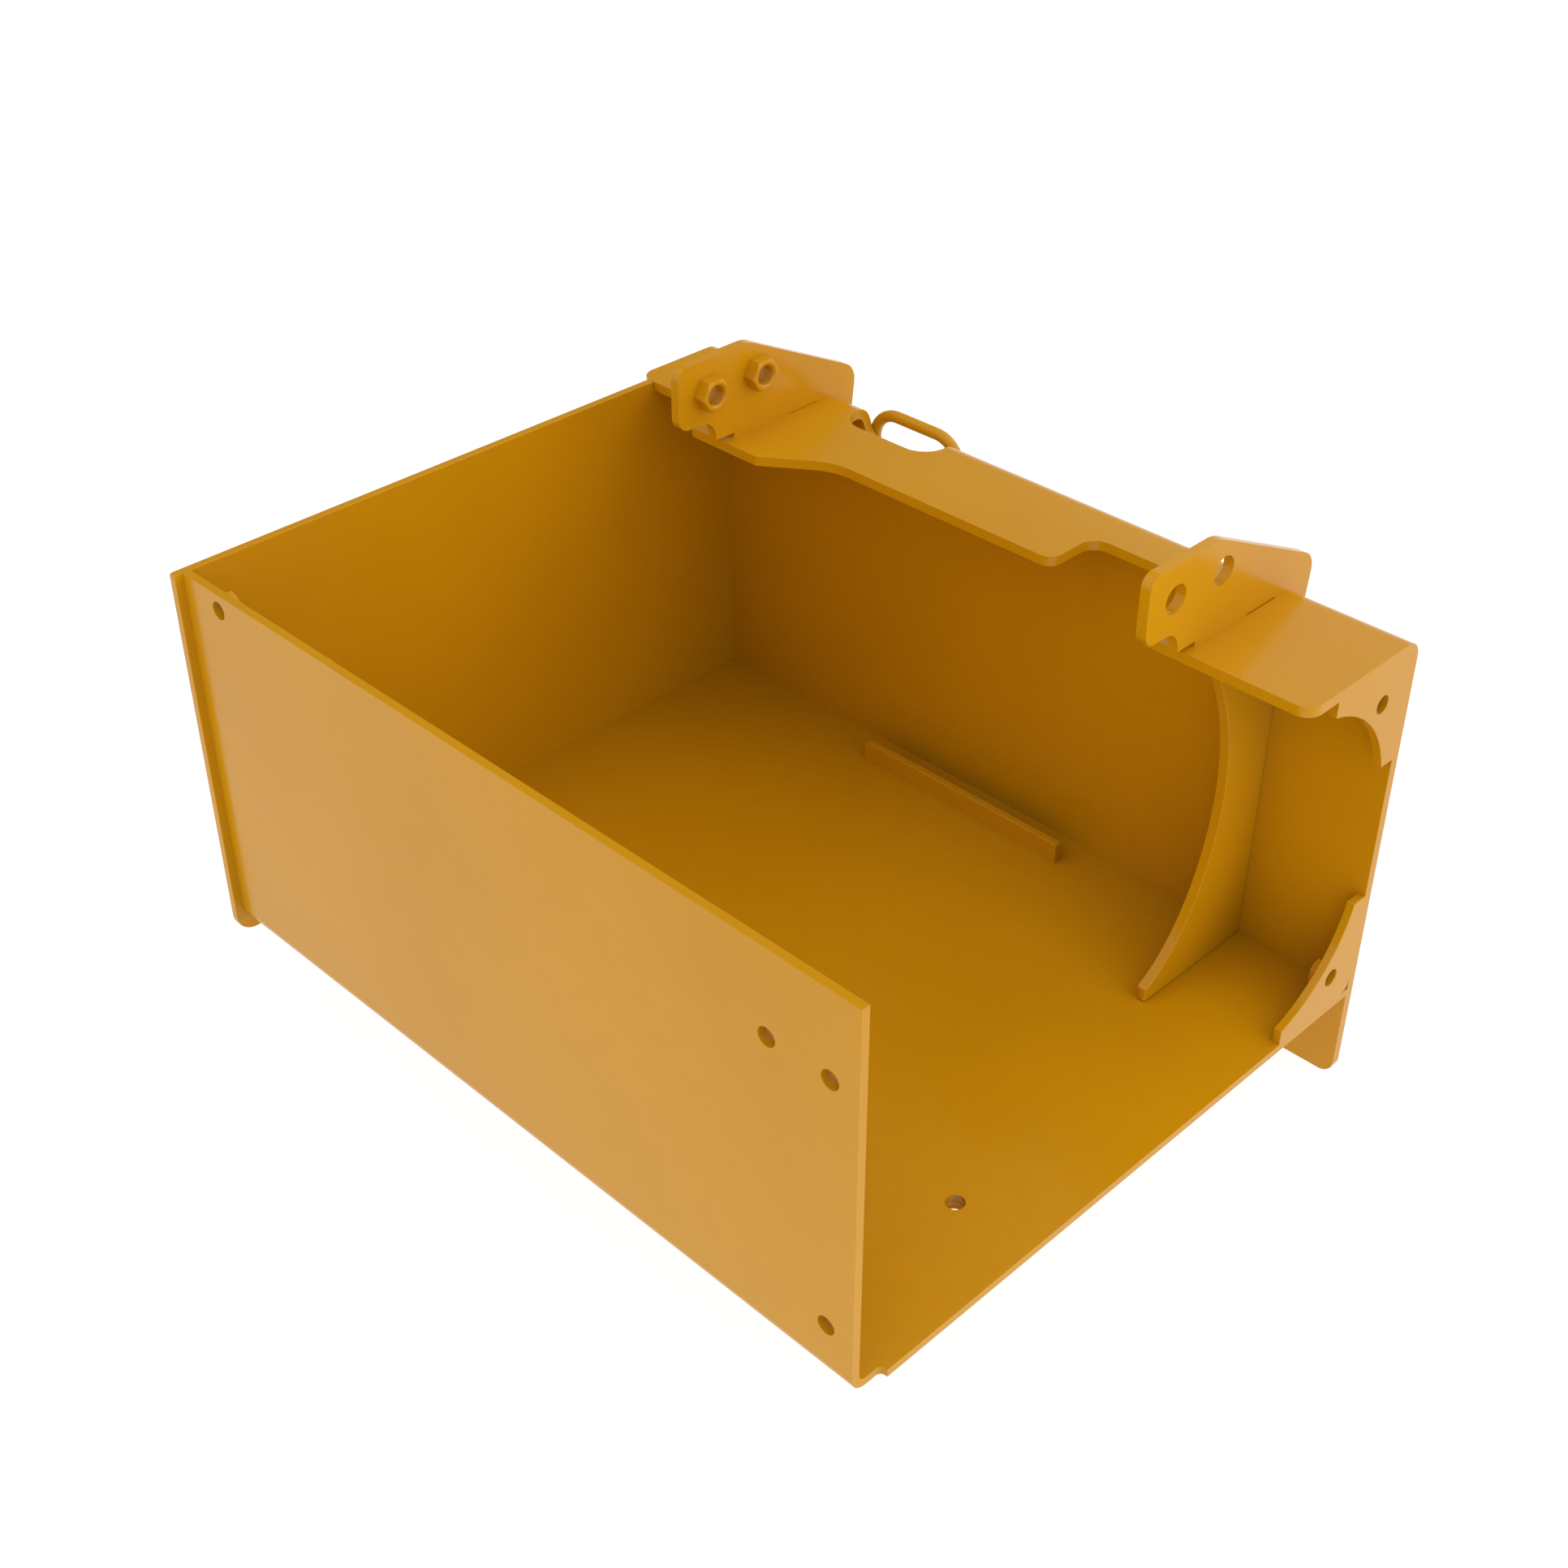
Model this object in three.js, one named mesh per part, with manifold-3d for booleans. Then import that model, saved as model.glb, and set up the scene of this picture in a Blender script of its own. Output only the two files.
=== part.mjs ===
import * as THREE from "three";
import { mergeVertices } from "three/addons/utils/BufferGeometryUtils.js";
import Module from "manifold-3d";

const wasm = await Module();
wasm.setup();

// Driving dimensions in mm. While drawing, x runs from the outer face of the left
// plate, y from the outer face of the front wall and z from the underside of the floor.
const GAP = 0.3; // left between touching pieces
const CHORD = 0.05; // the most a facet leaves its true arc
const SHEET = 8; // folded sheet, left plate, gussets and stop bar
const HEAVY = 10; // back plate, rib and lugs
const BOLT_HOLE = 17.5; // clearance for M16

// the box as a whole
const RIGHT = 827.5; // open right end
const TOP = 385.4; // top of the front wall, the left plate and the flange
const BACK = 659.2; // inner face of the back plate

// folded floor and front wall
const FRONT_BEND = 16; // outer radius of the bend at the front
const WALL_SETBACK = 7; // the wall ends this far inside the open end
const FLOOR_STEP = 32.2; // the floor reaches the open end behind this line
const STEP_FILLET = 5;
const WALL_HOLE_LEFT = [60.3, 369.1]; // x, z
const WALL_HOLE_UPPER = [730.6, 305.1];
const WALL_HOLE_RIGHT = [792.6, 305.1];
const WALL_HOLE_LOWER = [792.6, 56.1];
const FLOOR_HOLE = [748.7, 199.5]; // x, y

// left plate
const LEFT_FRONT = -8.3; // proud of the front wall
const LEFT_BOTTOM = -14.5; // proud of the floor
const LEFT_FOOT_RADIUS = 20;
const LEFT_TOP_RADIUS = 3;

// back plate and its top flange
const BACK_LEFT = -14.2; // proud of the left plate
const BACK_BOTTOM = -99.5; // hangs below the floor
const BACK_CORNER = 15;
const BACK_BEND = 19; // outer radius of the bend at the top
const FLANGE_FRONT = 552.9; // usual front edge of the flange
const FLANGE_WIDE = 508.7; // front edge below the lugs
const FLANGE_NARROW = 611.9; // front edge of the waist
const FLANGE_CORNER_LEFT = 18;
const FLANGE_CORNER_RIGHT = 15;
const LEFT_PAD = [112, 200.8]; // x range of the wide part below the left lug
const PAD_RAMP = 35.5; // slope in degrees on the right of the left pad
const PAD_SWEEP = 65; // radius that ends the ramp
const WAIST = [527.7, 654]; // x range of the waist
const WAIST_NOSE = 13; // convex corner radius
const WAIST_ROOT = 18; // concave corner radius

// hand notch across the bend
const NOTCH = [201, 316.8]; // x range
const NOTCH_FRONT = 623.1;
const NOTCH_SILL = 348;
const NOTCH_RADIUS = 27;

// inner rib
const RIB_LEFT = 696.2;
const RIB_FRONT = 510.5;
const RIB_TOE = 22; // height of the straight toe
const RIB_PULL_LOW = [592.7, 58]; // control points of the hollow edge, y and z
const RIB_PULL_HIGH = [646.4, 247];
const RIB_HEAD = 536.6; // y where the hollow edge meets the flange
const RIB_STEPS = 32;

// gussets at the open end, one against the floor and one under the flange
const GUSSET_FRONT = 550;
const GUSSET_LIP = 15.4; // depth of the straight front lip
const GUSSET_REACH = 108.8; // depth along the back plate
const GUSSET_REAR_LIP = 642.4;
const GUSSET_ARC = 129.5;
const UPPER_HOLE = [623.5, 339.2]; // y, z
const LOWER_HOLE = [623.5, 42.8];

// stop bar on the floor
const STOP = [253.5, 513.5]; // x range
const STOP_FRONT = 616.2;
const STOP_TOP = 31;
const STOP_CORNER = 4;

// lugs
const LUG_LEFT_X = 147.6;
const LUG_RIGHT_X = 693.5;
const LUG_NOSE = 451.3;
const LUG_NOSE_BOTTOM = 413;
const LUG_NOSE_FOOT = 13; // corner radius at the bottom of the nose
const LUG_NOSE_CROWN = 12; // corner radius at its top
const LUG_TOP = 477.8;
const LUG_BROW = 544.2; // where the top would meet the slope
const LUG_BROW_RADIUS = 30;
const LUG_SLOPE = 26; // degrees
const LUG_REAR = 691.5; // rearmost point
const LUG_REAR_RADIUS = 22;
const LUG_TAPER = 6.6; // degrees, the rear edge runs in toward its foot
const LUG_TIP = 286; // lower end behind the back plate
const LUG_ARCH = 19.5;
const LUG_ARCH_CENTRE = [479.2, 393.5];
const LUG_HEEL = 523.2; // front of the contact with the flange
const LUG_RELIEF = 390.5; // underside between arch and heel
const LUG_TAB = [596.2, 636.2]; // y range of the tab let into the flange
const LUG_SLOT_PLAY = 1; // the slot is this much wider than the tab, on its right
const LUG_HOLE = 27;
const LUG_HOLE_Y = [487.8, 552.8];
const LUG_HOLE_Z = 445;

// hexagon nuts
const LUG_NUT = { flats: 30, bore: 19.5, mouth: 23.5, height: 14.4 }; // M20
const BOLT_NUT = { flats: 24, bore: 14, mouth: 17, height: 8.2 }; // M16
const NUT_CHAMFER = 30; // degrees at the free end

// grab handle
const BAR = 12;
const BAR_SIDES = 24;
const BAR_STEPS = 60;
const HANDLE_LEGS = [202.6, 314.1]; // x of the leg centres
const HANDLE_TOP = 379.6; // z of the bar centre across the top
const HANDLE_FOOT = 280;
const HANDLE_BEND = 29.5; // centreline radius

// The part's own frame starts at the bottom centre of its bounding box.
const ORIGIN = [
  (BACK_LEFT + RIGHT) / 2,
  (LEFT_FRONT + LUG_REAR) / 2,
  BACK_BOTTOM,
];

const rad = THREE.MathUtils.degToRad;

// Points on an arc about (a, b) between two angles in degrees.
function arc(a, b, radius, from, to) {
  const step = 2 * Math.acos(1 - CHORD / radius);
  const count = Math.max(3, Math.ceil(rad(Math.abs(to - from)) / step));
  const points = [];
  for (let i = 0; i <= count; i++) {
    const t = rad(from + ((to - from) * i) / count);
    points.push([a + radius * Math.cos(t), b + radius * Math.sin(t)]);
  }
  return points;
}

function circle(a, b, diameter) {
  return arc(a, b, diameter / 2, 0, 360).slice(0, -1);
}

// Points of the shorter arc from p to q, its centre on the left of the way when radius > 0.
function bow(p, q, radius) {
  const half = Math.hypot(q[0] - p[0], q[1] - p[1]) / 2;
  const off = Math.sign(radius) * Math.sqrt(radius * radius - half * half);
  const ux = (q[0] - p[0]) / (2 * half);
  const uy = (q[1] - p[1]) / (2 * half);
  const cx = (p[0] + q[0]) / 2 - uy * off;
  const cy = (p[1] + q[1]) / 2 + ux * off;
  const from = THREE.MathUtils.radToDeg(Math.atan2(p[1] - cy, p[0] - cx));
  let to = THREE.MathUtils.radToDeg(Math.atan2(q[1] - cy, q[0] - cx));
  while (to - from > 180) to -= 360;
  while (to - from < -180) to += 360;
  return arc(cx, cy, Math.abs(radius), from, to);
}

// A closed outline whose corners [a, b, radius] are rounded where a radius is given.
function rounded(corners) {
  const points = [];
  corners.forEach(([a, b, radius], i) => {
    if (!radius) {
      points.push([a, b]);
      return;
    }
    const before = corners[(i + corners.length - 1) % corners.length];
    const after = corners[(i + 1) % corners.length];
    const back = new THREE.Vector2(before[0] - a, before[1] - b).normalize();
    const ahead = new THREE.Vector2(after[0] - a, after[1] - b).normalize();
    const half = Math.acos(THREE.MathUtils.clamp(back.dot(ahead), -1, 1)) / 2;
    const run = radius / Math.tan(half);
    points.push(
      ...bow(
        [a + back.x * run, b + back.y * run],
        [a + ahead.x * run, b + ahead.y * run],
        Math.sign(ahead.cross(back)) * radius,
      ),
    );
  });
  return points;
}

// A plate cut to an outline, thick along the axis its plane leaves out.
function plate(outline, plane, start, thickness, holes = []) {
  const path = (points) => points.map(([a, b]) => new THREE.Vector2(a, b));
  const shape = new THREE.Shape(path(outline));
  holes.forEach((hole) => shape.holes.push(new THREE.Path(path(hole))));
  const body = new THREE.ExtrudeGeometry(shape, {
    depth: thickness,
    steps: 1,
    bevelEnabled: false,
  });
  const turn = new THREE.Matrix4();
  const x = new THREE.Vector3(1, 0, 0);
  const y = new THREE.Vector3(0, 1, 0);
  const z = new THREE.Vector3(0, 0, 1);
  if (plane === "yz") turn.makeBasis(y, z, x).setPosition(start, 0, 0);
  if (plane === "xy") turn.setPosition(0, 0, start);
  if (plane === "xz") {
    turn.makeBasis(x, z, y.negate()).setPosition(0, start + thickness, 0);
  }
  return body.applyMatrix4(turn);
}

function solid(body) {
  const bare = body.clone();
  bare.deleteAttribute("normal");
  bare.deleteAttribute("uv");
  const welded = mergeVertices(bare, 1e-4);
  return new wasm.Manifold(
    new wasm.Mesh({
      numProp: 3,
      vertProperties: new Float32Array(welded.attributes.position.array),
      triVerts: new Uint32Array(welded.index.array),
    }),
  );
}

function surface(body) {
  const cut = body.getMesh();
  const geometry = new THREE.BufferGeometry();
  geometry.setAttribute(
    "position",
    new THREE.BufferAttribute(new Float32Array(cut.vertProperties), 3),
  );
  geometry.setIndex(new THREE.BufferAttribute(new Uint32Array(cut.triVerts), 1));
  return geometry;
}

const part = new THREE.Group();
part.name = "plate_box";
const drawing = new THREE.Group(); // everything below is placed in the drawing's axes
drawing.position.set(-ORIGIN[0], -ORIGIN[1], -ORIGIN[2]);
part.add(drawing);

const PAINT = "#c9922f";

// Adds one painted piece and returns it, so that it can be placed.
function add(name, geometry) {
  geometry.computeVertexNormals();
  const material = new THREE.MeshStandardMaterial({
    color: PAINT,
    roughness: 0.55,
    metalness: 0.1,
  });
  const mesh = new THREE.Mesh(geometry, material);
  mesh.name = name;
  drawing.add(mesh);
  return mesh;
}

// ---- floor and front wall in one folded sheet ----
const inside = FRONT_BEND - SHEET;
const foldedSheet = plate(
  [
    [0, TOP],
    ...arc(FRONT_BEND, FRONT_BEND, FRONT_BEND, 180, 270),
    [BACK - GAP, 0],
    [BACK - GAP, SHEET],
    ...arc(FRONT_BEND, FRONT_BEND, inside, 270, 180),
    [SHEET, TOP],
  ],
  "yz",
  SHEET + GAP,
  RIGHT - SHEET - GAP,
);
const WALL_END = RIGHT - WALL_SETBACK;
const wallSetback = plate(
  rounded([
    [WALL_END, LEFT_FRONT],
    [RIGHT + HEAVY, LEFT_FRONT],
    [RIGHT + HEAVY, FLOOR_STEP],
    [WALL_END, FLOOR_STEP, STEP_FILLET],
  ]),
  "xy",
  LEFT_BOTTOM,
  TOP - LEFT_BOTTOM + HEAVY,
);
const WALL_HOLES = [
  WALL_HOLE_LEFT,
  WALL_HOLE_UPPER,
  WALL_HOLE_RIGHT,
  WALL_HOLE_LOWER,
];
let folded = solid(foldedSheet).subtract(solid(wallSetback));
for (const [x, z] of WALL_HOLES) {
  const drill = plate(circle(x, z, BOLT_HOLE), "xz", -SHEET, 3 * SHEET);
  folded = folded.subtract(solid(drill));
}
const floorDrill = plate(circle(...FLOOR_HOLE, BOLT_HOLE), "xy", -SHEET, 3 * SHEET);
folded = folded.subtract(solid(floorDrill));
add("floor_front_plate", surface(folded));

// ---- left plate, stepped down where the flange passes over it ----
const UNDER_FLANGE = TOP - HEAVY - GAP;
const fold = BACK_BEND - HEAVY; // inner radius of the top bend
const bendY = BACK + HEAVY - BACK_BEND;
const bendZ = TOP - BACK_BEND;
const cornerUnderBend = arc(bendY - GAP, bendZ - GAP, fold, 90, 0);
add(
  "left_end_plate",
  plate(
    rounded([
      [LEFT_FRONT, LEFT_BOTTOM, LEFT_FOOT_RADIUS],
      [LEFT_FRONT, TOP, LEFT_TOP_RADIUS],
      [FLANGE_FRONT - GAP, TOP],
      [FLANGE_FRONT - GAP, UNDER_FLANGE],
      ...cornerUnderBend,
      [BACK - GAP, LEFT_BOTTOM],
    ]),
    "yz",
    0,
    SHEET,
  ),
);

// ---- back plate folded over into the top flange ----
const foldedBack = plate(
  [
    [FLANGE_WIDE, TOP],
    [FLANGE_WIDE, TOP - HEAVY],
    ...arc(bendY, bendZ, fold, 90, 0),
    [BACK, BACK_BOTTOM],
    [BACK + HEAVY, BACK_BOTTOM],
    ...arc(bendY, bendZ, BACK_BEND, 0, 90),
  ],
  "yz",
  BACK_LEFT,
  RIGHT - BACK_LEFT,
);
const rampRise = FLANGE_FRONT - FLANGE_WIDE;
const rampEnd = LEFT_PAD[1] + rampRise / Math.tan(rad(PAD_RAMP));
const flangeOutline = rounded([
  [BACK_LEFT, BACK + HEAVY + 1],
  [BACK_LEFT, FLANGE_FRONT, FLANGE_CORNER_LEFT],
  [LEFT_PAD[0] - rampRise, FLANGE_FRONT, WAIST_ROOT],
  [LEFT_PAD[0], FLANGE_WIDE, WAIST_NOSE],
  [LEFT_PAD[1], FLANGE_WIDE, STEP_FILLET],
  [rampEnd, FLANGE_FRONT, PAD_SWEEP],
  [WAIST[0], FLANGE_FRONT, WAIST_NOSE],
  [WAIST[0], FLANGE_NARROW, WAIST_ROOT],
  [WAIST[1], FLANGE_NARROW, WAIST_ROOT],
  [WAIST[1], FLANGE_WIDE, WAIST_NOSE],
  [RIGHT, FLANGE_WIDE, FLANGE_CORNER_RIGHT],
  [RIGHT, BACK + HEAVY + 1],
]);
const backOutline = rounded([
  [BACK_LEFT, TOP + 1],
  [BACK_LEFT, BACK_BOTTOM, BACK_CORNER],
  [RIGHT, BACK_BOTTOM, BACK_CORNER],
  [RIGHT, TOP + 1],
]);
const notchPlan = rounded([
  [NOTCH[0], NOTCH_FRONT, NOTCH_RADIUS],
  [NOTCH[1], NOTCH_FRONT, NOTCH_RADIUS],
  [NOTCH[1], BACK + 2 * HEAVY],
  [NOTCH[0], BACK + 2 * HEAVY],
]);
const notchFront = rounded([
  [NOTCH[0], NOTCH_SILL, NOTCH_RADIUS],
  [NOTCH[1], NOTCH_SILL, NOTCH_RADIUS],
  [NOTCH[1], TOP + HEAVY],
  [NOTCH[0], TOP + HEAVY],
]);
const notch = solid(
  plate(notchPlan, "xy", NOTCH_SILL - HEAVY, TOP - NOTCH_SILL + 2 * HEAVY),
).intersect(solid(plate(notchFront, "xz", NOTCH_FRONT - HEAVY, BACK - NOTCH_FRONT + 3 * HEAVY)));
let backBody = solid(foldedBack)
  .intersect(solid(plate(flangeOutline, "xy", BACK_BOTTOM - 1, TOP - BACK_BOTTOM + 2)))
  .intersect(solid(plate(backOutline, "xz", 0, BACK + 2 * HEAVY)))
  .subtract(notch);
for (const x of [LUG_LEFT_X, LUG_RIGHT_X]) {
  const slot = rounded([
    [x - GAP, LUG_TAB[0] - GAP],
    [x + HEAVY + LUG_SLOT_PLAY, LUG_TAB[0] - GAP],
    [x + HEAVY + LUG_SLOT_PLAY, LUG_TAB[1] + GAP],
    [x - GAP, LUG_TAB[1] + GAP],
  ]);
  backBody = backBody.subtract(solid(plate(slot, "xy", TOP - 2 * HEAVY, 3 * HEAVY)));
}
add("back_plate", surface(backBody));

// ---- rib between floor, back and flange ----
const ribEdge = new THREE.CubicBezierCurve(
  new THREE.Vector2(RIB_FRONT, RIB_TOE),
  new THREE.Vector2(...RIB_PULL_LOW),
  new THREE.Vector2(...RIB_PULL_HIGH),
  new THREE.Vector2(RIB_HEAD, UNDER_FLANGE),
);
add(
  "inner_rib",
  plate(
    [
      [BACK - GAP, SHEET + GAP],
      [RIB_FRONT, SHEET + GAP],
      ...ribEdge.getPoints(RIB_STEPS).map((dot) => [dot.x, dot.y]),
      ...cornerUnderBend,
    ],
    "yz",
    RIB_LEFT,
    HEAVY,
  ),
);

// ---- gussets at the open end ----
// y, and the distance from the floor or the flange that the gusset stands on
const gussetOutline = [
  [GUSSET_FRONT, 0],
  [GUSSET_FRONT, GUSSET_LIP],
  ...bow([GUSSET_FRONT, GUSSET_LIP], [GUSSET_REAR_LIP, GUSSET_REACH], GUSSET_ARC).slice(1),
  [BACK - GAP, GUSSET_REACH],
  ...arc(BACK - GAP - fold, fold, fold, 0, -90),
];
function gusset(name, base, side, hole) {
  const outline = gussetOutline.map(([y, depth]) => [y, base + side * depth]);
  const body = plate(outline, "yz", RIGHT - SHEET, SHEET, [circle(...hole, BOLT_HOLE)]);
  add(name, body);
}
gusset("upper_end_gusset", UNDER_FLANGE, -1, UPPER_HOLE);
gusset("lower_end_gusset", SHEET + GAP, 1, LOWER_HOLE);

// ---- stop bar ----
add(
  "floor_stop_bar",
  plate(
    rounded([
      [STOP[0], SHEET + GAP],
      [STOP[1], SHEET + GAP],
      [STOP[1], STOP_TOP, STOP_CORNER],
      [STOP[0], STOP_TOP, STOP_CORNER],
    ]),
    "xz",
    STOP_FRONT,
    SHEET,
  ),
);

// ---- lugs hooked over the back edge ----
const taper = Math.tan(rad(LUG_TAPER));
const fall = Math.tan(rad(LUG_SLOPE));
const rearCentreY = LUG_REAR - LUG_REAR_RADIUS;
const rearCentreZ =
  LUG_TOP - fall * (rearCentreY - LUG_BROW) - LUG_REAR_RADIUS / Math.cos(rad(LUG_SLOPE));
const rearTouchY = rearCentreY + LUG_REAR_RADIUS * Math.cos(rad(LUG_TAPER));
const rearTouchZ = rearCentreZ - LUG_REAR_RADIUS * Math.sin(rad(LUG_TAPER));
const rearTipY = rearTouchY - (rearTouchZ - LUG_TIP) * taper;
// where the slope and the tapered rear edge would meet
const slopeAtTouch = LUG_TOP - fall * (rearTouchY - LUG_BROW);
const rearCornerZ = rearTouchZ + (slopeAtTouch - rearTouchZ) / (1 + fall * taper);
const rearCornerY = rearTouchY + (rearCornerZ - rearTouchZ) * taper;
const [archY, archZ] = LUG_ARCH_CENTRE;
const lugOutline = rounded([
  [LUG_NOSE, LUG_NOSE_BOTTOM, LUG_NOSE_FOOT],
  [LUG_NOSE, LUG_TOP, LUG_NOSE_CROWN],
  [LUG_BROW, LUG_TOP, LUG_BROW_RADIUS],
  [rearCornerY, rearCornerZ, LUG_REAR_RADIUS],
  [rearTipY, LUG_TIP, 3],
  [BACK + HEAVY + GAP, LUG_TIP],
  ...arc(bendY, bendZ, BACK_BEND + GAP, 0, 90),
  [LUG_TAB[1], TOP + GAP],
  [LUG_TAB[1], UNDER_FLANGE + 2 * GAP],
  [LUG_TAB[0], UNDER_FLANGE + 2 * GAP],
  [LUG_TAB[0], TOP + GAP],
  [LUG_HEEL, TOP + GAP],
  [LUG_HEEL, LUG_RELIEF],
  [archY + LUG_ARCH, LUG_RELIEF],
  ...arc(archY, archZ, LUG_ARCH, 0, 90),
]);
const lugHoles = LUG_HOLE_Y.map((y) => circle(y, LUG_HOLE_Z, LUG_HOLE));
const lugLeft = add("lug_left", plate(lugOutline, "yz", 0, HEAVY, lugHoles));
lugLeft.position.x = LUG_LEFT_X;
const lugRight = add("lug_right", plate(lugOutline, "yz", 0, HEAVY, lugHoles));
lugRight.position.x = LUG_RIGHT_X;

// ---- hexagon nuts: one flat end, one chamfered end, bore open at both ----
function nut({ flats, bore, mouth, height }) {
  const corner = flats / 2 / Math.cos(Math.PI / 6);
  const hexagon = [];
  for (let i = 0; i < 6; i++) {
    const t = (i * Math.PI) / 3;
    hexagon.push([corner * Math.cos(t), corner * Math.sin(t)]);
  }
  const drop = (corner - flats / 2) * Math.tan(rad(NUT_CHAMFER));
  const turned = new THREE.LatheGeometry(
    [
      new THREE.Vector2(0, 0),
      new THREE.Vector2(corner + 1, 0),
      new THREE.Vector2(corner + 1, height - drop - Math.tan(rad(NUT_CHAMFER))),
      new THREE.Vector2(flats / 2 - 0.5, height + 0.5 * Math.tan(rad(NUT_CHAMFER))),
      new THREE.Vector2(0, height + 0.5 * Math.tan(rad(NUT_CHAMFER))),
    ],
    48,
  ).rotateX(Math.PI / 2);
  const lead = (mouth - bore) / 2;
  const drill = new THREE.LatheGeometry(
    [
      new THREE.Vector2(0, -1),
      new THREE.Vector2(bore / 2, -1),
      new THREE.Vector2(bore / 2, height - lead / 2),
      new THREE.Vector2(mouth / 2 + lead, height + lead / 2),
      new THREE.Vector2(0, height + lead / 2),
    ],
    36,
  ).rotateX(Math.PI / 2);
  return solid(plate(hexagon, "xy", 0, height))
    .intersect(solid(turned))
    .subtract(solid(drill));
}

// A nut is drawn on its flat end with its axis along z, and then turned and placed.
const quarterTurn = Math.PI / 2;
const lugNut = nut(LUG_NUT);
LUG_HOLE_Y.forEach((y, i) => {
  const mesh = add(`lug_nut_${i + 1}`, surface(lugNut.rotate([0, 0, 90])));
  mesh.rotation.y = quarterTurn;
  mesh.position.set(LUG_LEFT_X + HEAVY + GAP, y, LUG_HOLE_Z);
});

const boltNut = nut(BOLT_NUT);
WALL_HOLES.forEach(([x, z], i) => {
  const mesh = add(`wall_nut_${i + 1}`, surface(boltNut.rotate([0, 0, 90])));
  mesh.rotation.x = -quarterTurn;
  mesh.position.set(x, SHEET + GAP, z);
});
const floorNut = add("floor_nut", surface(boltNut));
floorNut.rotation.x = Math.PI;
floorNut.position.set(...FLOOR_HOLE, -GAP);
[UPPER_HOLE, LOWER_HOLE].forEach(([y, z], i) => {
  const mesh = add(`gusset_nut_${i + 1}`, surface(boltNut));
  mesh.rotation.y = -quarterTurn;
  mesh.position.set(RIGHT - SHEET - GAP, y, z);
});

// ---- grab handle ----
const handleY = BACK + HEAVY + 2 * GAP + BAR / 2;
const [legLeft, legRight] = HANDLE_LEGS;
const barPath = new THREE.CurvePath();
const point = (x, z) => new THREE.Vector3(x, handleY, z);
const quarter = (cx, cz, from, to) => {
  const dots = arc(cx, cz, HANDLE_BEND, from, to).map(([x, z]) => point(x, z));
  for (let i = 1; i < dots.length; i++) {
    barPath.add(new THREE.LineCurve3(dots[i - 1], dots[i]));
  }
};
const bendTop = HANDLE_TOP - HANDLE_BEND;
barPath.add(new THREE.LineCurve3(point(legLeft, HANDLE_FOOT), point(legLeft, bendTop)));
quarter(legLeft + HANDLE_BEND, bendTop, 180, 90);
barPath.add(
  new THREE.LineCurve3(
    point(legLeft + HANDLE_BEND, HANDLE_TOP),
    point(legRight - HANDLE_BEND, HANDLE_TOP),
  ),
);
quarter(legRight - HANDLE_BEND, bendTop, 90, 0);
barPath.add(new THREE.LineCurve3(point(legRight, bendTop), point(legRight, HANDLE_FOOT)));
const barSection = [];
for (let i = 0; i < BAR_SIDES; i++) {
  const t = (2 * Math.PI * i) / BAR_SIDES;
  barSection.push(new THREE.Vector2(Math.cos(t), Math.sin(t)).multiplyScalar(BAR / 2));
}
add(
  "grab_handle",
  new THREE.ExtrudeGeometry(new THREE.Shape(barSection), {
    steps: BAR_STEPS,
    extrudePath: barPath,
  }),
);

export default part;
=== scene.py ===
import math

import bmesh
import bpy
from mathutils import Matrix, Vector


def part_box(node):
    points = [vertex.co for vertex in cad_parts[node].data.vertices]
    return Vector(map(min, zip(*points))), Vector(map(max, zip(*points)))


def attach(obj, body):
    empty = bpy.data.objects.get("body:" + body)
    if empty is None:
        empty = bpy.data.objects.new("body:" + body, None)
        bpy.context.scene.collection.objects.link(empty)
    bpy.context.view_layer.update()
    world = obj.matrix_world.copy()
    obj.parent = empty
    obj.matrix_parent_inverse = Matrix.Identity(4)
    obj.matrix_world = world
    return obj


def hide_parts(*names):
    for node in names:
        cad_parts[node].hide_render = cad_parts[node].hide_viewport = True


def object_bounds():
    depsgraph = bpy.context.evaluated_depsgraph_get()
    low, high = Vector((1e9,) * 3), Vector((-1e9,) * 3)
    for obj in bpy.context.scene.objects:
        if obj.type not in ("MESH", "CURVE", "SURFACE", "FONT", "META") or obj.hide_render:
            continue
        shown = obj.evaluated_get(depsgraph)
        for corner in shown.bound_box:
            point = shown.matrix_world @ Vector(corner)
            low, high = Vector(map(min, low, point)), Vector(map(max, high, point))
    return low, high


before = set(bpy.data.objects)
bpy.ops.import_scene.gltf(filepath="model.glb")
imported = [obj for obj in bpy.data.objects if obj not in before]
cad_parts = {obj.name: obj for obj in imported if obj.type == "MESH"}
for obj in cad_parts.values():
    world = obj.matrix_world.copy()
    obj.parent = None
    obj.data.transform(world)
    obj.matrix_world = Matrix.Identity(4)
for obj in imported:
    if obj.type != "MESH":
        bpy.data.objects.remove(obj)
cad_low, cad_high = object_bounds()
CENTRE = (cad_low + cad_high) / 2

# ---- sizes of the pieces, in metres ----
GAP = 0.0003  # the CAD model leaves this between welded pieces
NEAR = 0.00002  # a vertex this close to a plane lies on it
MERGE = 0.000005  # vertices closer than this are one
FLAT = math.radians(0.3)  # faces that meet at less are one flat face
SMOOTH = math.radians(30)  # edges sharper than this stay sharp
BACK_BEND = 0.019  # outer radius of the fold along the top of the back plate
INNER_BEND = BACK_BEND - 0.010
EDGE = 0.0006  # rounding of cut and sheared edges under the paint
EDGE_STEPS = 2
TOE_RADIUS = 0.0038  # rounding of the two upright edges of the rib's toe
TOE_STEPS = 6
RIB_LIFT = 0.0007  # the rib's foot is this much above its weld gap

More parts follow.
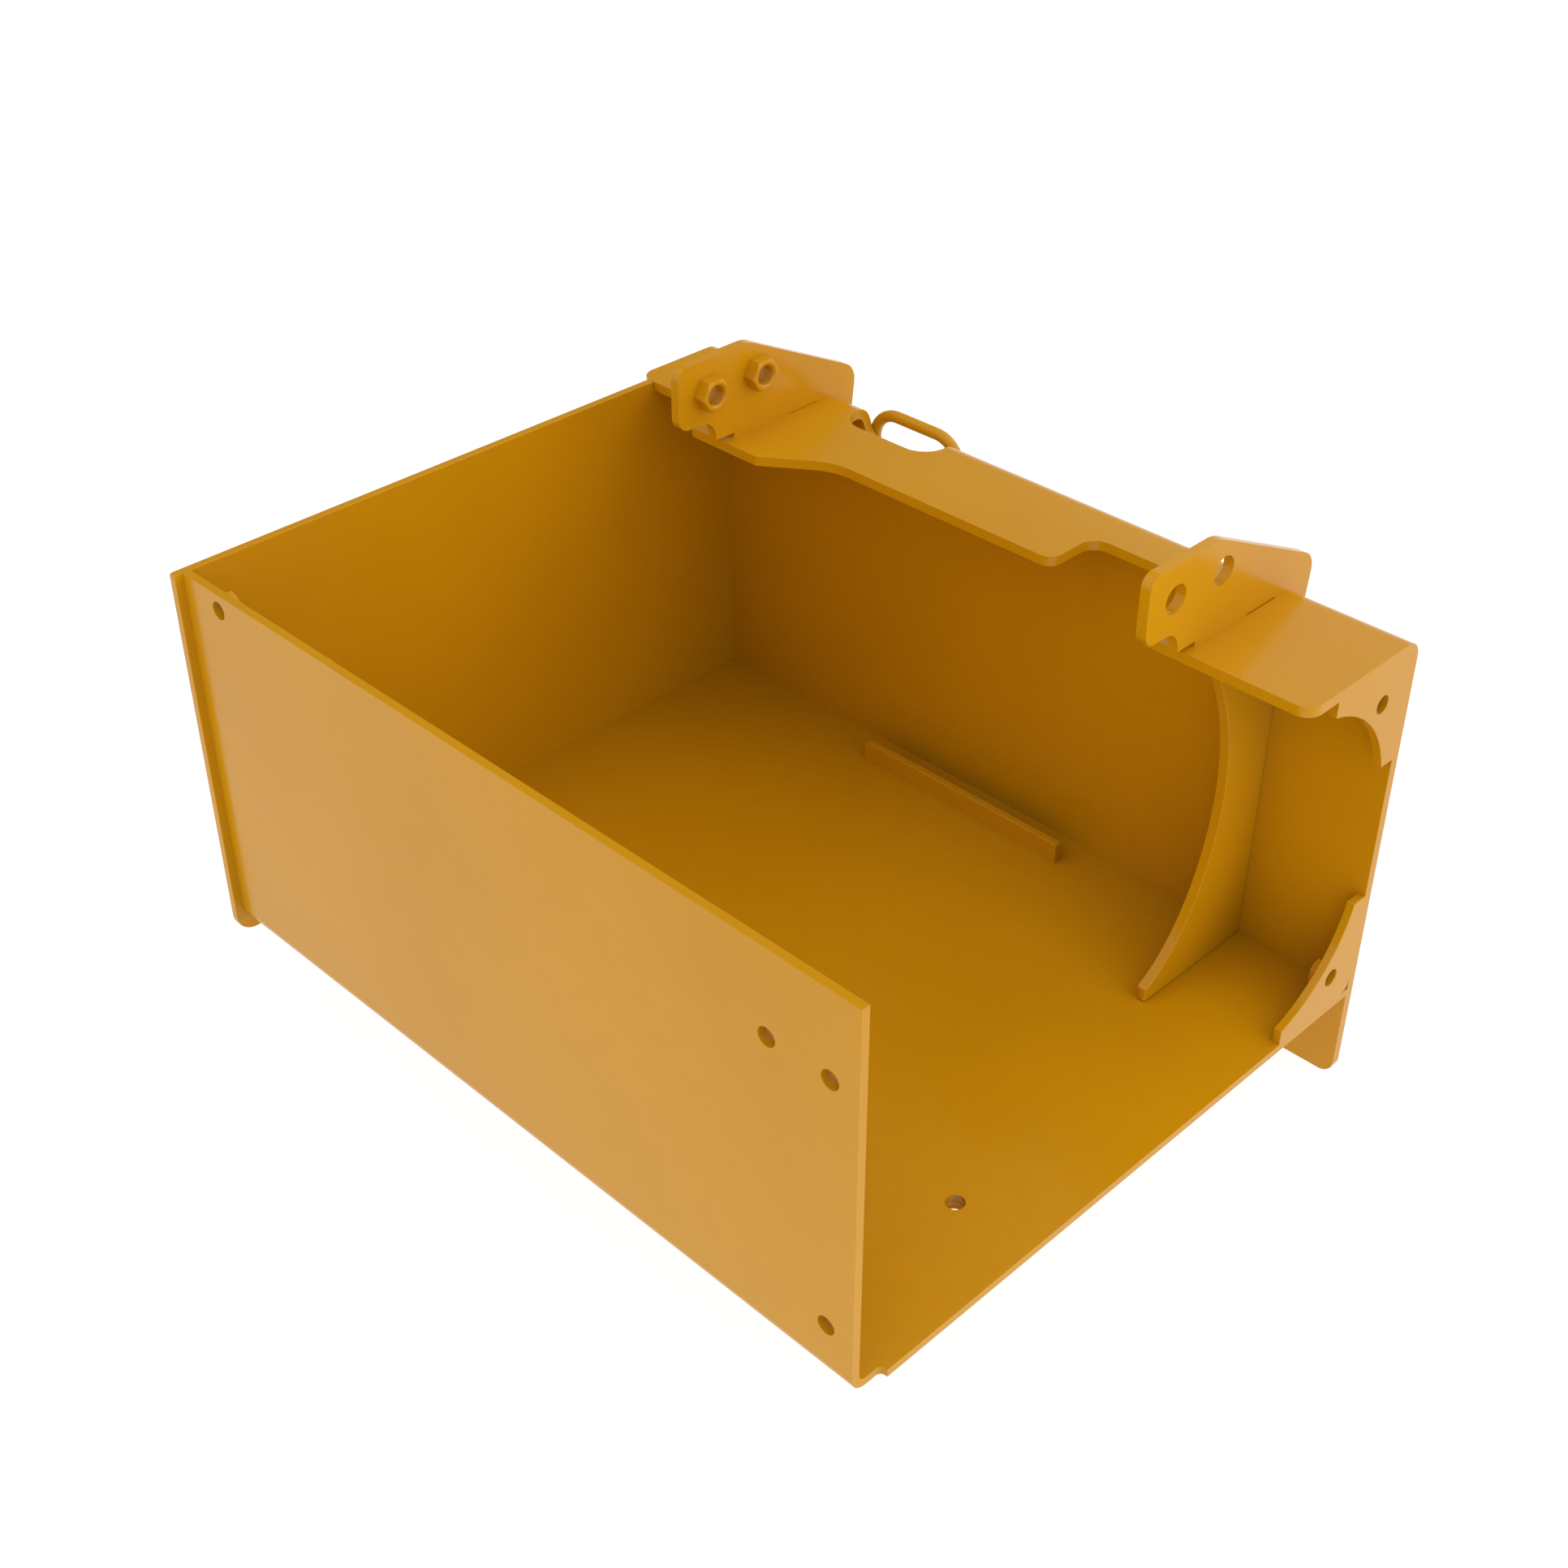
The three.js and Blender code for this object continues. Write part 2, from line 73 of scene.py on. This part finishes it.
# ---- nuts: M20 on the lug, M16 elsewhere ----
ACROSS_FLATS = {"lug": 0.030, "bolt": 0.024}
BORE = {"lug": 0.0195, "bolt": 0.014}
MOUTH = {"lug": 0.0235, "bolt": 0.017}
PITCH = {"lug": 0.0025, "bolt": 0.002}
THREAD = {"lug": 0.0011, "bolt": 0.0009}  # depth of the thread groove
CROWN = 0.95  # the flat end face's share of the width across flats
TURNS = 96  # faces round a nut
LEVELS = 8  # rows of faces in one pitch of the thread
NUT_EDGE = 0.0003
NUT_SMOOTH = math.radians(22)
NUT_BEVEL_ANGLE = math.radians(25)

# ---- camera, where the photograph's was ----
VIEW_DISTANCE = 1.9747
LENS = 50.0
SENSOR = 36.0

# ---- floor, surroundings and lights ----
FLOOR_HALF = 12.0
FLOOR_DROP = 0.0005
FLOOR_SHADE = 0.1
FLOOR_GLOW = 0.95
SURROUND = 1.0
DIM_SIDE = (-0.696, 0.37, 0.616)  # direction of the surroundings' one dim side
DIM_START = 0.875  # cosine of the angle from it where the dimming starts
DIM_FULL = 0.955
DIM_LEVEL = 0.12
SIDE_LIGHT = ((3.2, 0.4, 1.2), 2.4, 15.0)  # offset from the centre, diameter, watts
TOP_LIGHT = ((0.8, 2.3, 2.4), 2.2, 13.5)

# ---- enamel ----
COLOUR = (0.59, 0.268, 0.0025)
ENAMEL_IOR = 1.325
SHADE_SCALE = 3.2  # slow changes of shade
MOTTLE_SCALE = 38.0
PATCH_SCALE = 60.0  # patches where an edge is rubbed and painted lighter as a highlight
CLOUD_SCALE = 9.0  # changes of gloss
PEEL_SCALE = 420.0  # orange peel
WAVE_SCALE = 7.0  # waves in the sheet
# rubbed edges: wear that dulls the gloss, with a painted highlight that lightens the colour
RUB_AND_HIGHLIGHT_RADIUS = 0.0022
RUB_AND_HIGHLIGHT_AMOUNT = 0.4
RUB_DULLS = 0.35
# reach of the ambient occlusion that paints shade into the box's hollows
PAINTED_SHADE_REACH = 0.45
PEEL_DEPTH = 0.00012
WAVE_DEPTH = 0.0012
WAVE_STRENGTH = 0.35
FLOOR_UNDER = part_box("floor_front_plate")[0].z
FLANGE_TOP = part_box("back_plate")[1].z


def link(thing):
    bpy.context.scene.collection.objects.link(thing)
    return thing


def make_camera():
    data = bpy.data.cameras.new("camera")
    data.lens = LENS
    data.sensor_width = SENSOR
    data.clip_start = 0.05
    data.clip_end = 50.0
    camera = link(bpy.data.objects.new("camera", data))
    away = Vector((1.0, -1.0, 1.0)).normalized()
    camera.location = CENTRE + away * VIEW_DISTANCE
    camera.rotation_mode = "QUATERNION"
    camera.rotation_quaternion = (-away).to_track_quat("-Z", "Y")
    bpy.context.scene.camera = camera


def make_floor():
    """A white light table, wide enough to reach the horizon."""
    mesh = bpy.data.meshes.new("floor")
    x, y, z = CENTRE.x, CENTRE.y, cad_low.z - FLOOR_DROP
    corners = ((-1, -1), (1, -1), (1, 1), (-1, 1))
    mesh.from_pydata(
        [(x + i * FLOOR_HALF, y + j * FLOOR_HALF, z) for i, j in corners],
        [],
        [(0, 1, 2, 3)],
    )
    floor = link(bpy.data.objects.new("floor", mesh))
    material = bpy.data.materials.new("floor")
    material.use_nodes = True
    shader = material.node_tree.nodes["Principled BSDF"]
    shader.inputs["Base Color"].default_value = (FLOOR_SHADE, FLOOR_SHADE, FLOOR_SHADE, 1.0)
    shader.inputs["Roughness"].default_value = 1.0
    shader.inputs["Specular IOR Level"].default_value = 0.0
    shader.inputs["Emission Color"].default_value = (1.0, 1.0, 1.0, 1.0)
    shader.inputs["Emission Strength"].default_value = FLOOR_GLOW
    mesh.materials.append(material)


def make_surroundings():
    """An even white surrounding with one dim side, high on the left behind the object."""
    world = bpy.data.worlds.new("world")
    world.use_nodes = True
    nodes, links = world.node_tree.nodes, world.node_tree.links
    background = nodes["Background"]
    background.inputs["Strength"].default_value = SURROUND
    toward = nodes.new("ShaderNodeVectorMath")
    toward.operation = "DOT_PRODUCT"
    toward.inputs[1].default_value = Vector(DIM_SIDE).normalized()
    sky = nodes.new("ShaderNodeTexCoord")
    links.new(sky.outputs["Generated"], toward.inputs[0])
    fall = nodes.new("ShaderNodeMapRange")
    fall.interpolation_type = "SMOOTHSTEP"
    fall.inputs["From Min"].default_value = DIM_START
    fall.inputs["From Max"].default_value = DIM_FULL
    fall.inputs["To Min"].default_value = 1.0
    fall.inputs["To Max"].default_value = DIM_LEVEL
    links.new(toward.outputs["Value"], fall.inputs["Value"])
    links.new(fall.outputs["Result"], background.inputs["Color"])
    bpy.context.scene.world = world
    bpy.context.scene.view_settings.view_transform = "Standard"


def soft_light(name, offset, size, energy):
    data = bpy.data.lights.new(name, "AREA")
    data.shape = "DISK"
    data.size = size
    data.energy = energy
    lamp = link(bpy.data.objects.new(name, data))
    lamp.location = CENTRE + Vector(offset)
    lamp.rotation_mode = "QUATERNION"
    lamp.rotation_quaternion = Vector(offset).to_track_quat("Z", "Y")


make_camera()
make_floor()
make_surroundings()
soft_light("side_light", *SIDE_LIGHT)
soft_light("top_light", *TOP_LIGHT)


# ---- gloss enamel, sprayed over steel ----
def enamel(name, colour, gloss, peel, shift):
    """Enamel with slow changes of shade, orange peel, thin rubbed edges with a painted
    highlight, and painted shade in the box's hollows.
    """
    material = bpy.data.materials.new(name)
    material.use_nodes = True
    nodes, links = material.node_tree.nodes, material.node_tree.links
    shader = nodes["Principled BSDF"]
    shader.inputs["IOR"].default_value = ENAMEL_IOR
    place = nodes.new("ShaderNodeTexCoord").outputs["Object"]

    def noise(scale, detail, rough=0.5):
        node = nodes.new("ShaderNodeTexNoise")
        node.inputs["Scale"].default_value = scale
        node.inputs["Detail"].default_value = detail
        node.inputs["Roughness"].default_value = rough
        moved = nodes.new("ShaderNodeVectorMath")
        moved.operation = "ADD"
        moved.inputs[1].default_value = (shift, 2 * shift, 3 * shift)
        links.new(place, moved.inputs[0])
        links.new(moved.outputs[0], node.inputs["Vector"])
        return node.outputs["Fac"]

    def ramp(source, low, high, start, end):
        node = nodes.new("ShaderNodeMapRange")
        node.inputs["From Min"].default_value = start
        node.inputs["From Max"].default_value = end
        node.inputs["To Min"].default_value = low
        node.inputs["To Max"].default_value = high
        links.new(source, node.inputs["Value"])
        return node.outputs["Result"]

    def mix(amount, first, second):
        node = nodes.new("ShaderNodeMix")
        node.data_type = "RGBA"
        links.new(amount, node.inputs["Factor"])
        for socket, value in ((node.inputs[6], first), (node.inputs[7], second)):
            if isinstance(value, tuple):
                socket.default_value = (*value, 1.0)
            else:
                links.new(value, socket)
        return node.outputs[2]

    def arithmetic(operation, first, second):
        node = nodes.new("ShaderNodeMath")
        node.operation = operation
        links.new(first, node.inputs[0])
        if isinstance(second, float):
            node.inputs[1].default_value = second
        else:
            links.new(second, node.inputs[1])
        return node.outputs[0]

    def bump(source, strength, distance, below=None):
        node = nodes.new("ShaderNodeBump")
        node.inputs["Strength"].default_value = strength
        node.inputs["Distance"].default_value = distance
        links.new(source, node.inputs["Height"])
        if below:
            links.new(below, node.inputs["Normal"])
        return node.outputs["Normal"]

    red, green, blue = colour
    light = (min(1.0, red * 1.03), green * 1.045, blue)
    deep = (red * 0.965, green * 0.955, blue)
    shade = mix(ramp(noise(SHADE_SCALE, 3.0), 0.0, 1.0, 0.35, 0.65), deep, light)
    mottle = mix(ramp(noise(MOTTLE_SCALE, 4.0, 0.6), 0.0, 0.35, 0.42, 0.68), shade, deep)

    # edges, where the film is thin, rubbed and duller, with a painted highlight that lightens
    # their colour
    rounded = nodes.new("ShaderNodeBevel")
    rounded.samples = 4
    rounded.inputs["Radius"].default_value = RUB_AND_HIGHLIGHT_RADIUS
    flat = nodes.new("ShaderNodeNewGeometry")
    facing = nodes.new("ShaderNodeVectorMath")
    facing.operation = "DOT_PRODUCT"
    links.new(rounded.outputs["Normal"], facing.inputs[0])
    links.new(flat.outputs["True Normal"], facing.inputs[1])
    edge = ramp(facing.outputs["Value"], 1.0, 0.0, 0.78, 0.985)
    patch = ramp(noise(PATCH_SCALE, 3.0), 0.0, 1.0, 0.46, 0.66)
    rub_and_highlight = arithmetic("MULTIPLY", arithmetic("MULTIPLY", edge, patch), RUB_AND_HIGHLIGHT_AMOUNT)
    worn_and_highlit = mix(rub_and_highlight, mottle, (red * 1.05, green * 1.22, blue + 0.05))

    # painted shade: the base colour darkens where ambient occlusion finds the surface enclosed,
    # between the floor plate's underside and just below the flange top
    painted_shade_ao = nodes.new("ShaderNodeAmbientOcclusion")
    painted_shade_ao.samples = 6
    painted_shade_ao.inputs["Distance"].default_value = PAINTED_SHADE_REACH
    height = nodes.new("ShaderNodeSeparateXYZ")
    links.new(place, height.inputs[0])
    inside = arithmetic(
        "MULTIPLY",
        ramp(height.outputs["Z"], 0.0, 1.0, FLOOR_UNDER, FLOOR_UNDER + 0.002),
        ramp(height.outputs["Z"], 1.0, 0.0, FLANGE_TOP - 0.004, FLANGE_TOP - 0.002),
    )
    depth = arithmetic("MULTIPLY", ramp(painted_shade_ao.outputs["AO"], 1.0, 0.0, 0.05, 0.5), inside)
    links.new(
        mix(depth, worn_and_highlit, (red * 0.66, green * 0.74, blue * 1.5)),
        shader.inputs["Base Color"],
    )

    cloud = ramp(noise(CLOUD_SCALE, 4.0, 0.6), gloss * 0.82, gloss * 1.3, 0.32, 0.7)
    dull = arithmetic("ADD", cloud, arithmetic("MULTIPLY", rub_and_highlight, RUB_DULLS))
    links.new(dull, shader.inputs["Roughness"])

    wave = bump(noise(WAVE_SCALE, 1.0), WAVE_STRENGTH, WAVE_DEPTH)
    skin = bump(noise(PEEL_SCALE, 2.0), peel, PEEL_DEPTH, wave)
    links.new(skin, shader.inputs["Normal"])
    return material


PLATE_PAINT = enamel("plate_enamel", COLOUR, 0.2, 0.25, 0.0)
NUT_PAINT = enamel("nut_enamel", COLOUR, 0.24, 0.4, 5.1)
BAR_PAINT = enamel("bar_enamel", COLOUR, 0.22, 0.3, 9.7)


# ---- plates: the CAD shapes with the weld gaps drawn shut and the edges rounded ----
back_low, back_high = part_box("back_plate")
BEND_Y = back_high.y - BACK_BEND
BEND_Z = back_high.z - BACK_BEND


def on_plane(axis, value):
    return lambda co: abs(co[axis] - value) < NEAR


def end_of(node, axis, side):
    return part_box(node)[side][axis]


def bend_reach(co):
    """Distance from the axis of the back plate's fold."""
    return math.hypot(co.y - BEND_Y, co.z - BEND_Z)


def by_bend(radius, slack, margin):
    """A test for vertices in the fold's quarter, within slack of radius from its axis."""
    return lambda co: (
        co.y > BEND_Y + margin
        and co.z > BEND_Z + margin
        and abs(bend_reach(co) - radius) < slack
    )


def onto_bend(radius):
    """A move that puts a vertex at radius from the fold's axis."""

    def move(co):
        share = radius / bend_reach(co)
        return Vector(
            (co.x, BEND_Y + (co.y - BEND_Y) * share, BEND_Z + (co.z - BEND_Z) * share)
        )

    return move


def moved_by(x, y, z):
    return lambda co: co + Vector((x, y, z))


def copy_of(node, name, closings, edge, paint, slot, plain=(), nose=None, radius=0.0):
    """Makes a visual piece from a CAD node.

    closings are pairs of a test and a move for vertices. An edge with both ends on one of
    the tests in plain stays sharp. Edges that pass the test nose are rounded to radius
    instead of edge.
    """
    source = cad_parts[node]
    mesh = bpy.data.meshes.new(name)
    shape = bmesh.new()
    shape.from_mesh(source.data)
    bmesh.ops.remove_doubles(shape, verts=shape.verts, dist=MERGE)
    bmesh.ops.dissolve_limit(shape, angle_limit=FLAT, verts=shape.verts, edges=shape.edges)
    for test, move in closings:
        for vertex in shape.verts:
            if test(vertex.co):
                vertex.co = move(vertex.co)
    shape.normal_update()
    weights = shape.edges.layers.float.new("bevel_weight_edge")
    for item in shape.edges:
        turn = item.calc_face_angle_signed(0.0)
        item.smooth = abs(turn) < SMOOTH
        on_seam = any(all(test(v.co) for v in item.verts) for test in plain)
        item[weights] = 1.0 if turn > SMOOTH and not on_seam else 0.0
        if nose and item[weights] and not nose(*[v.co for v in item.verts]):
            item[weights] = edge / radius
    for face in shape.faces:
        face.smooth = True
    shape.to_mesh(mesh)
    shape.free()
    mesh.materials.append(paint)
    piece = link(bpy.data.objects.new(name, mesh))
    if edge:
        bevel = piece.modifiers.new("edge", "BEVEL")
        bevel.limit_method = "WEIGHT"
        bevel.width = radius if nose else edge
        bevel.segments = TOE_STEPS if nose else EDGE_STEPS
        bevel.miter_outer = "MITER_ARC"
        even = piece.modifiers.new("even", "WEIGHTED_NORMAL")
        even.mode = "FACE_AREA"
        even.keep_sharp = True
    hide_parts(node)
    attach(piece, "root")


TOP = back_high.z
UNDER = end_of("inner_rib", 2, 1)
REAR = end_of("inner_rib", 1, 1)
FLOOR_TOP = end_of("inner_rib", 2, 0)
TOE = end_of("inner_rib", 1, 0)

# planes of the model: those that end on this side of a weld gap, and those beyond it
end_face = on_plane(0, back_high.x)
rear_face = on_plane(1, REAR)
under_flange = on_plane(2, UNDER)
floor_face = on_plane(2, FLOOR_TOP)
back_face = on_plane(1, REAR + GAP)
flange_face = on_plane(2, UNDER + GAP)
sheet_top = on_plane(2, FLOOR_TOP - GAP)
left_seam = on_plane(0, end_of("floor_front_plate", 0, 0))
left_face = on_plane(0, end_of("left_end_plate", 0, 1))

rear_to_back = (rear_face, moved_by(0, GAP, 0))
top_to_flange = (under_flange, moved_by(0, 0, GAP))
foot_to_floor = (floor_face, moved_by(0, 0, -GAP))
corner_to_bend = (by_bend(INNER_BEND, 2 * GAP, NEAR), onto_bend(INNER_BEND))


def toe_corner(first, last):
    upright = abs(first.x - last.x) < NEAR and abs(first.z - last.z) > 0.01
    return upright and max(first.y, last.y) < TOE + NEAR


def back_seam(co):
    return end_face(co) and back_face(co)


def flange_seam(co):
    return end_face(co) and flange_face(co)


PLATES = {
    "floor_front_plate": (
        [(left_seam, moved_by(-GAP, 0, 0)), rear_to_back],
        [left_face, back_face],
    ),
    "left_end_plate": ([rear_to_back, top_to_flange], [back_face, flange_face]),
    "back_plate": ([], [back_seam, flange_seam]),
    "inner_rib": (
        [top_to_flange, (floor_face, moved_by(0, 0, RIB_LIFT))],
        [flange_face],
        toe_corner,
        TOE_RADIUS,
    ),
    "upper_end_gusset": (
        [corner_to_bend, rear_to_back, top_to_flange],
        [back_face, flange_face],
    ),
    "lower_end_gusset": ([rear_to_back, foot_to_floor], [back_face, sheet_top]),
    "floor_stop_bar": ([foot_to_floor], [sheet_top]),
}
lug_closings = [
    (by_bend(BACK_BEND + GAP, NEAR, -NEAR), onto_bend(BACK_BEND)),
    (on_plane(2, TOP + GAP), moved_by(0, 0, -GAP)),
    (on_plane(1, back_high.y + GAP), moved_by(0, -GAP, 0)),
]
for node in ("lug_left", "lug_right"):
    PLATES[node] = (lug_closings, [on_plane(2, TOP), by_bend(BACK_BEND, NEAR, 0)])

for node, (closings, *rest) in PLATES.items():
    copy_of(node, node + "_shape", closings, EDGE, PLATE_PAINT, "plate_paint", *rest)
copy_of("grab_handle", "grab_handle_shape", [], 0, BAR_PAINT, "bar_paint")


# ---- nuts with real threads ----
def nut_outline(kind, height, angle):
    """The nut's cut at an angle: (radius, z) from the seat round the outside and the bore."""
    flat, bore, mouth = ACROSS_FLATS[kind] / 2, BORE[kind] / 2, MOUTH[kind] / 2
    crown = flat * CROWN
    lead = mouth - bore
    threaded = height - 2 * lead
    count = int(round(threaded / PITCH[kind] * LEVELS))
    reach = flat / math.cos((angle % (math.pi / 3)) - math.pi / 6)
    drop = max(0.0, reach - crown) * math.tan(SMOOTH)
    line = [(crown, 0.0), (reach, 0.0), (reach, height - drop), (crown, height)]
    line.append((mouth, height))
    for j in range(count + 1):
        z = height - lead - threaded * j / count
        phase = (z / PITCH[kind] + angle / (2 * math.pi)) % 1.0
        groove = 1.0 - abs(2.0 * phase - 1.0)
        fade = min(1.0, j / LEVELS, (count - j) / LEVELS)
        line.append((bore + THREAD[kind] * groove * fade, z))
    line.append((mouth, 0.0))
    return line


def nut_mesh(name, kind, height):
    """A hexagon nut along +Z from its seat at z 0, with corners on X and a cut thread."""
    verts, faces = [], []
    for i in range(TURNS):
        angle = 2 * math.pi * i / TURNS
        line = nut_outline(kind, height, angle)
        verts += [(r * math.cos(angle), r * math.sin(angle), z) for r, z in line]
    rows = len(verts) // TURNS
    for i in range(TURNS):
        a, b = i * rows, ((i + 1) % TURNS) * rows
        for j in range(rows):
            k = (j + 1) % rows
            faces.append((a + j, b + j, b + k, a + k))
    mesh = bpy.data.meshes.new(name)
    mesh.from_pydata(verts, [], faces)
    shape = bmesh.new()
    shape.from_mesh(mesh)
    bmesh.ops.recalc_face_normals(shape, faces=shape.faces)
    for item in shape.edges:
        item.smooth = item.calc_face_angle(0.0) < NUT_SMOOTH
    for face in shape.faces:
        face.smooth = True
    shape.to_mesh(mesh)
    shape.free()
    mesh.materials.append(NUT_PAINT)
    return mesh


def place_nut(node, kind, outward, corner):
    """Sets a threaded nut where the CAD nut is.

    outward points from its seat to its free end, and corner to one of its six corners.
    """
    low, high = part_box(node)
    out, side = Vector(outward), Vector(corner)
    height = abs((high - low).dot(out)) + GAP
    piece = link(bpy.data.objects.new(node + "_shape", nut_mesh(node + "_shape", kind, height)))
    seat = (low + high) / 2 - out * (abs((high - low).dot(out)) / 2 + GAP)
    third = out.cross(side)
    turn = piece.matrix_world.copy()
    for row in range(3):
        turn[row][0], turn[row][1], turn[row][2] = side[row], third[row], out[row]
        turn[row][3] = seat[row]
    piece.matrix_world = turn
    bevel = piece.modifiers.new("edge", "BEVEL")
    bevel.limit_method = "ANGLE"
    bevel.angle_limit = NUT_BEVEL_ANGLE
    bevel.width = NUT_EDGE
    bevel.segments = EDGE_STEPS
    bevel.harden_normals = True
    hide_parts(node)
    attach(piece, "root")


for node in ("lug_nut_1", "lug_nut_2"):
    place_nut(node, "lug", (1, 0, 0), (0, 1, 0))
for node in ("wall_nut_1", "wall_nut_2", "wall_nut_3", "wall_nut_4"):
    place_nut(node, "bolt", (0, 1, 0), (0, 0, 1))
place_nut("floor_nut", "bolt", (0, 0, -1), (1, 0, 0))
for node in ("gusset_nut_1", "gusset_nut_2"):
    place_nut(node, "bolt", (-1, 0, 0), (0, 0, 1))
